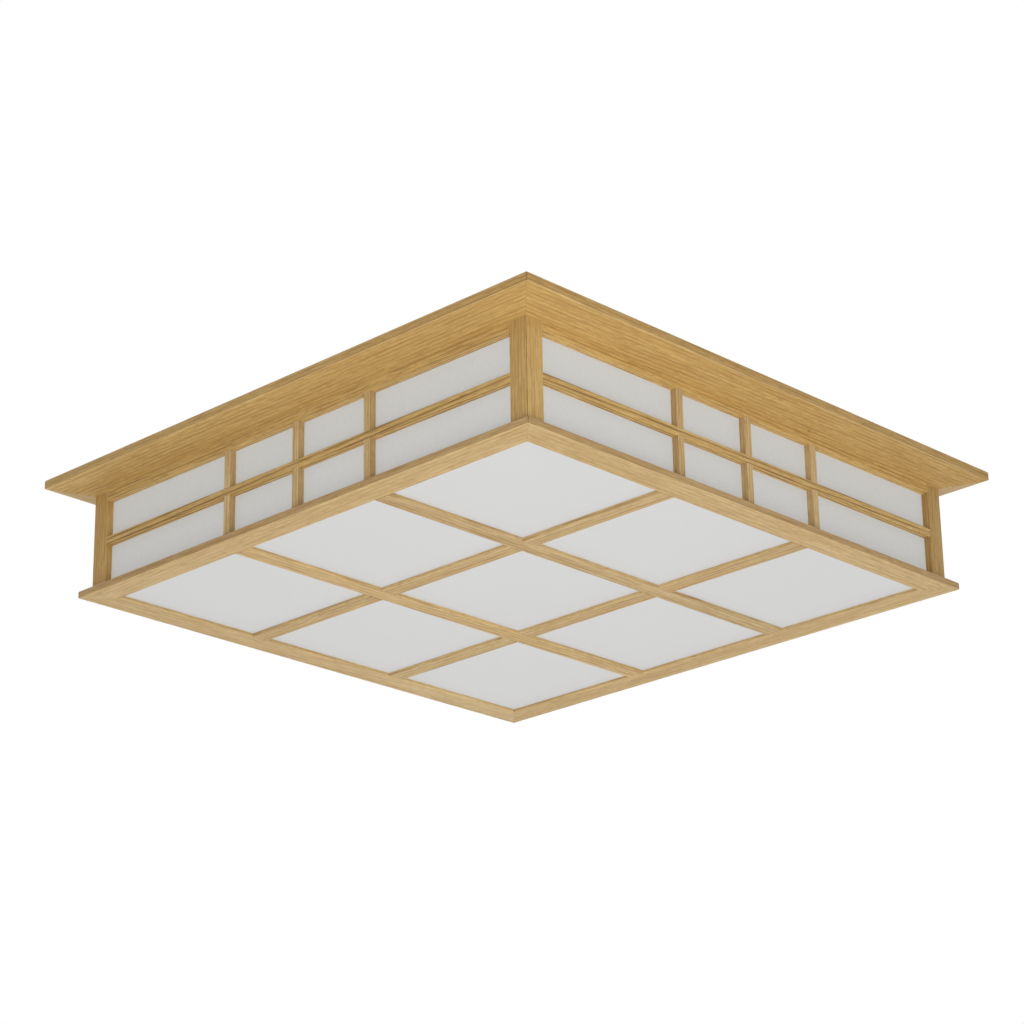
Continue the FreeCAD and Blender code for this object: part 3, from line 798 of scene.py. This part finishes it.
class LANTERN_OT_light_sources(bpy.types.Operator):
    """Light boards with clear lenses over yellow chips"""
    bl_idname = "lantern.light_sources"
    bl_label = "Light Sources"

    def execute(self, context):
        finish = context.scene.lantern_fittings
        mask = speckled("White board mask", finish.board, roughness=0.42, scale=1800.0)
        for node in LED_BOARDS:
            wear(node, mask)
        package = speckled("White chip package", finish.board, roughness=0.5, scale=3000.0)
        phosphor = speckled("Yellow phosphor", finish.chip, roughness=0.6, scale=3500.0, contrast=0.15)
        lenses = bmesh.new()
        chips = bmesh.new()
        for low, high in solids("led_lenses"):
            middle = (low + high) / 2
            place = Matrix.Translation((middle.x, middle.y, high.z))
            joined(lenses, self.lens((high.x - low.x) / 2, high.z - low.z, finish), place)
            joined(chips, self.chip(finish), place)
        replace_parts(finished("lens_domes", lenses, "lantern", "lens", self.clear(finish)), "led_lenses")
        finished("light_chips", chips, "lantern", "light_board", package, phosphor)
        return {"FINISHED"}

    def lens(self, radius, rise, finish):
        """A dome hanging from the origin, with a well in its flat face for the chip."""
        ball = (radius ** 2 + rise ** 2) / (2 * rise)
        shape = bmesh.new()
        bmesh.ops.create_uvsphere(shape, u_segments=28, v_segments=24, radius=ball,
                                  matrix=Matrix.Translation((0, 0, ball - rise)))
        cut_above(shape, -finish.lens_gap)
        base = bmesh.ops.contextual_create(shape, geom=open_edges(shape))["faces"]
        bmesh.ops.inset_region(shape, faces=base, thickness=radius / 2, use_even_offset=True)
        push_in(shape, base, finish.lens_well)
        return shape

    def chip(self, finish):
        """A square package under the origin, with a sunk phosphor window as its second finish."""
        shape = bmesh.new()
        rim = finish.chip_size / 8
        size = Matrix.Diagonal((finish.chip_size, finish.chip_size, finish.chip_height, 1))
        bmesh.ops.create_cube(shape, matrix=Matrix.Translation((0, 0, -finish.chip_height / 2)) @ size)
        uprights = [
            edge for edge in shape.edges
            if abs(edge.verts[0].co.z - edge.verts[1].co.z) > finish.chip_height / 2]
        bmesh.ops.bevel(shape, geom=uprights, offset=rim, affect="EDGES", segments=2,
                        profile=0.5, material=-1)
        window = [face for face in shape.faces if face.normal.z < -0.9]
        bmesh.ops.inset_region(shape, faces=window, thickness=rim, depth=-finish.chip_height / 5)
        for face in window:
            face.material_index = 1
        return shape

    def clear(self, finish):
        """Clear plastic with a faint haze."""
        material, tree, surface = new_material("Clear lens")
        place = put(tree, "ShaderNodeTexCoord").outputs["Object"]
        haze = noise(tree, place, 700.0)
        feed(tree, surface, {
            "Base Color": (*finish.lens, 1),
            "Roughness": ranged(tree, haze, 0.3, 0.7, start=0.04, end=0.14),
            "Alpha": ranged(tree, haze, 0.3, 0.7, start=0.13, end=0.19),
        })
        return material


class LANTERN_OT_lamp_gear(bpy.types.Operator):
    """Driver, terminal block, wires and their solder joints"""
    bl_idname = "lantern.lamp_gear"
    bl_label = "Lamp Gear"

    def execute(self, context):
        finish = context.scene.lantern_fittings
        moulded = speckled("Moulded white plastic", finish.plastic, roughness=0.5, scale=1600.0, bump=0.12)
        for node in ("driver_case", "terminal_block", "wire_saddles"):
            wear(node, moulded)
        wear("wires", speckled("Wire insulation", finish.wire, roughness=0.4, scale=900.0))
        zinc = bpy.data.materials["Zinc plating"]
        driven_screws("gear_screws", "lantern", "steel", zinc, up=False, rise=finish.gear_head)
        finished("driver_ribs", self.ribs(finish), "lantern", "white_plastic", moulded)
        finished("terminal_collars", self.collars(finish), "lantern", "white_plastic", moulded)
        finished("terminal_screws", self.clamp_screws(finish), "lantern", "steel", zinc)
        finished("solder_joints", self.solder(finish), "lantern", "steel", zinc)
        return {"FINISHED"}

    def ribs(self, finish):
        """Cooling ribs across the underside of the driver."""
        low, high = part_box("driver_case")
        whole = bmesh.new()
        size = Matrix.Diagonal((finish.rib_size, RIBBED * (high[1] - low[1]), finish.rib_size, 1))
        for number in range(finish.rib_count):
            part = bmesh.new()
            bmesh.ops.create_cube(part, matrix=size)
            bmesh.ops.bevel(part, geom=part.edges[:], offset=finish.rib_size / 4, affect="EDGES", segments=2,
                            profile=0.5, material=-1)
            along = (number + 0.5) / finish.rib_count - 0.5
            middle = (Vector(low) + Vector(high)) / 2
            middle.x += RIBBED * along * (high[0] - low[0])
            middle.z = low[2]
            joined(whole, part, Matrix.Translation(middle))
        return whole

    def clamp_spots(self, finish):
        """Places of the four clamping screws under the terminal block."""
        low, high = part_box("terminal_block")
        side = CLAMP_SIDE * finish.clamp_inset
        for x in (low[0] + finish.clamp_inset, high[0] - finish.clamp_inset):
            for y in (low[1] + side, high[1] - side):
                yield Vector((x, y, low[2]))

    def collars(self, finish):
        """A round collar about each clamping screw."""
        whole = bmesh.new()
        outer = COLLAR_OUTER * finish.clamp_inset
        inner = COLLAR_INNER * finish.clamp_inset
        profile = ((inner, 0), (outer, 0), (outer, -finish.collar), (inner, -finish.collar))
        for spot in self.clamp_spots(finish):
            joined(whole, turned_shape(profile, closed=True), Matrix.Translation(spot))
        return whole

    def clamp_screws(self, finish):
        """A pan-head screw sunk in each collar."""
        whole = bmesh.new()
        head = CLAMP_HEAD * finish.clamp_inset
        reach = CLAMP_REACH * finish.collar
        rise = CLAMP_RISE * finish.collar
        for spot in self.clamp_spots(finish):
            place = Matrix.Translation(spot - Vector((0, 0, reach))) @ Matrix.Rotation(math.pi, 4, "X")
            joined(whole, cross_head_screw(head, reach, rise), place)
        return whole

    def solder(self, finish):
        """A blob of solder where each wire ends on a light board."""
        whole = bmesh.new()
        boards = [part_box(node) for node in LED_BOARDS]
        for low, high in solids("wires"):
            for y in (low.y, high.y):
                for board_low, board_high in boards:
                    if board_low[1] < y < board_high[1]:
                        spot = ((low.x + high.x) / 2, y, board_low[2])
                        joined(whole, self.blob(finish), Matrix.Translation(spot))
        return whole

    def blob(self, finish):
        """A flat-topped drop of solder under the origin."""
        shape = bmesh.new()
        bmesh.ops.create_icosphere(shape, subdivisions=2, radius=finish.solder)
        bmesh.ops.scale(shape, verts=shape.verts, vec=SOLDER_FORM)
        cut_above(shape, 0)
        bmesh.ops.contextual_create(shape, geom=open_edges(shape))
        return shape


class LANTERN_OT_door_fittings(bpy.types.Operator):
    """Brass hinges, magnets, strike screws and panel clips"""
    bl_idname = "lantern.door_fittings"
    bl_label = "Door Fittings"

    def execute(self, context):
        finish = context.scene.lantern_fittings
        brass = speckled("Drawn brass", finish.brass, roughness=0.3, metallic=1.0, contrast=0.18)
        for node in ("hinge_leaves_fixed", "hinge_leaves_door", "hinge_pins"):
            wear(node, brass)
        nickel = speckled("Nickel plating", finish.nickel, roughness=0.2, metallic=1.0, contrast=0.1)
        wear("catch_magnets", nickel)
        zinc = bpy.data.materials["Zinc plating"]
        wear("panel_clips", zinc)
        driven_screws("hinge_screws_fixed", "lantern", "brass", brass, up=False)
        driven_screws("hinge_screws_door", "door", "brass", brass)
        driven_screws("strike_screws", "door", "steel", zinc)
        return {"FINISHED"}


def aimed(position, target):
    """A transform at a position, looking at a target with its own z axis."""
    look = (Vector(target) - Vector(position)).to_track_quat("-Z", "Y").to_matrix().to_4x4()
    return Matrix.Translation(position) @ look


def soft_lamp(name, energy, position, width, height=None, spread=math.pi):
    """A soft lamp aimed at the light: round, or a strip with a height of its own and a narrow spread."""
    lamp = bpy.data.lights.new(name, "AREA")
    lamp.energy = energy
    lamp.shape = "ELLIPSE"
    lamp.size = width
    lamp.size_y = height or width
    lamp.spread = spread
    lamp_object = add_object(name, lamp)
    lamp_object.matrix_world = aimed(position, (0, 0, CAD_BOX[0][2] / 2))
    lamp_object.visible_camera = False


def in_sight(tree):
    """What the camera sees, straight or by way of gloss and glass."""
    rays = put(tree, "ShaderNodeLightPath").outputs
    straight = maths(tree, "MAXIMUM", rays["Is Camera Ray"], rays["Is Glossy Ray"])
    return maths(tree, "MAXIMUM", straight, rays["Is Transmission Ray"])


class LANTERN_OT_stage(bpy.types.Operator):
    """Camera, soft studio lamps, white surround and pale floor"""
    bl_idname = "lantern.stage"
    bl_label = "Stage"

    def execute(self, context):
        stage = context.scene.lantern_stage
        self.add_floor(stage)
        self.add_camera(context, stage)
        self.add_surround(context, stage)
        soft_lamp("Key lamp", stage.key, position=(1.05, -0.75, -1.70), width=2.6)
        soft_lamp("Top lamp", stage.top, position=(0.0, 0.0, 2.5), width=1.6)
        soft_lamp("Back lamp", stage.back, position=(-1.5, 1.5, 0.4), width=1.2)
        soft_lamp("Strip lamp", stage.strip, position=(1.47, -1.47, -1.20), width=0.3, height=1.5,
                  spread=stage.strip_spread)
        context.scene.view_settings.view_transform = "Standard"
        return {"FINISHED"}

    def add_floor(self, stage):
        """A wide pale floor that keeps the shadow and meets the white surround."""
        shape = bmesh.new()
        bmesh.ops.create_grid(shape, x_segments=1, y_segments=1, size=FLOOR_HALF)
        bmesh.ops.translate(shape, verts=shape.verts, vec=(0, 0, -stage.floor_drop))
        mesh = bpy.data.meshes.new("Floor")
        shape.to_mesh(mesh)
        shape.free()
        pale = speckled("Pale floor", stage.floor, roughness=0.8, scale=40.0, contrast=0.02, bump=0)
        tree = pale.node_tree
        feed(tree, tree.nodes["Principled BSDF"], {
            "Emission Color": (1, 1, 1, 1),
            "Emission Strength": maths(tree, "MULTIPLY", in_sight(tree), stage.floor_glow),
        })
        mesh.materials.append(pale)
        add_object("Floor", mesh)

    def add_camera(self, context, stage):
        """The camera at its azimuth and elevation round the target, with its lean."""
        flat = math.cos(stage.elevation)
        back = Vector((
            math.sin(stage.azimuth) * flat, -math.cos(stage.azimuth) * flat, math.sin(stage.elevation)))
        right = (-back).cross(Vector((0, 0, 1))).normalized()
        up = back.cross(right)
        turn = Matrix((right, up, back)).transposed() @ Matrix.Rotation(-stage.roll, 3, "Z")
        camera = bpy.data.cameras.new("Camera")
        camera.sensor_width = 36
        camera.lens = stage.lens
        camera.clip_end = 50
        eye = add_object("Camera", camera)
        eye.matrix_world = Matrix.Translation(Vector(stage.target) + back * stage.distance) @ turn.to_4x4()
        context.scene.camera = eye

    def add_surround(self, context, stage):
        """A world that looks white and lights the object at the ambient level."""
        world = bpy.data.worlds.new("White surround")
        world.use_nodes = True
        context.scene.world = world
        tree = world.node_tree
        level = put(tree, "ShaderNodeMix", {"Factor": in_sight(tree), 2: stage.ambient, 3: 1.0},
                    data_type="FLOAT")
        feed(tree, tree.nodes["Background"], {"Color": (1, 1, 1, 1), "Strength": level.outputs[0]})


class LANTERN_PT_panel(bpy.types.Panel):
    """Finishes and stage of the lantern light"""
    bl_idname = "LANTERN_PT_panel"
    bl_label = "Lattice Ceiling Light"
    bl_space_type = "VIEW_3D"
    bl_region_type = "UI"
    bl_category = "Lantern"

    def draw(self, context):
        for name in SETTINGS:
            group = getattr(context.scene, name)
            column = self.layout.column(align=True)
            for prop in group.bl_rna.properties:
                if prop.identifier not in ("rna_type", "name"):
                    column.prop(group, prop.identifier)
        for operator in OPERATORS:
            self.layout.operator(operator.bl_idname)


SETTINGS = {
    "lantern_wood": LanternWood,
    "lantern_panes": LanternPanes,
    "lantern_fittings": LanternFittings,
    "lantern_stage": LanternStage,
}
OPERATORS = (
    LANTERN_OT_eave_boards,
    LANTERN_OT_wall_frames,
    LANTERN_OT_door_lattice,
    LANTERN_OT_paper_panes,
    LANTERN_OT_diffuser,
    LANTERN_OT_ceiling_plate,
    LANTERN_OT_light_sources,
    LANTERN_OT_lamp_gear,
    LANTERN_OT_door_fittings,
    LANTERN_OT_stage,
)
CLASSES = (*SETTINGS.values(), *OPERATORS, LANTERN_PT_panel)


def register():
    """Makes the settings, operators and panel known to Blender."""
    for cls in CLASSES:
        bpy.utils.register_class(cls)
    for name, cls in SETTINGS.items():
        setattr(bpy.types.Scene, name, bpy.props.PointerProperty(type=cls))


def unregister():
    """Takes them out again."""
    for name in SETTINGS:
        delattr(bpy.types.Scene, name)
    for cls in reversed(CLASSES):
        bpy.utils.unregister_class(cls)


def clear_default_scene():
    """Removes the cube, camera and lamp of a new file."""
    for thing in list(bpy.data.objects):
        if thing.type in ("CAMERA", "LIGHT") or thing.name == "Cube":
            bpy.data.objects.remove(thing)


def main():
    """Builds the whole light by its operators."""
    register()
    clear_default_scene()
    for build in (grain_group, facing_group, mitre_group, knot_group, speckle_group):
        build()
    for operator in OPERATORS:
        family, name = operator.bl_idname.split(".")
        getattr(getattr(bpy.ops, family), name)()


if __name__ == "__main__":
    main()
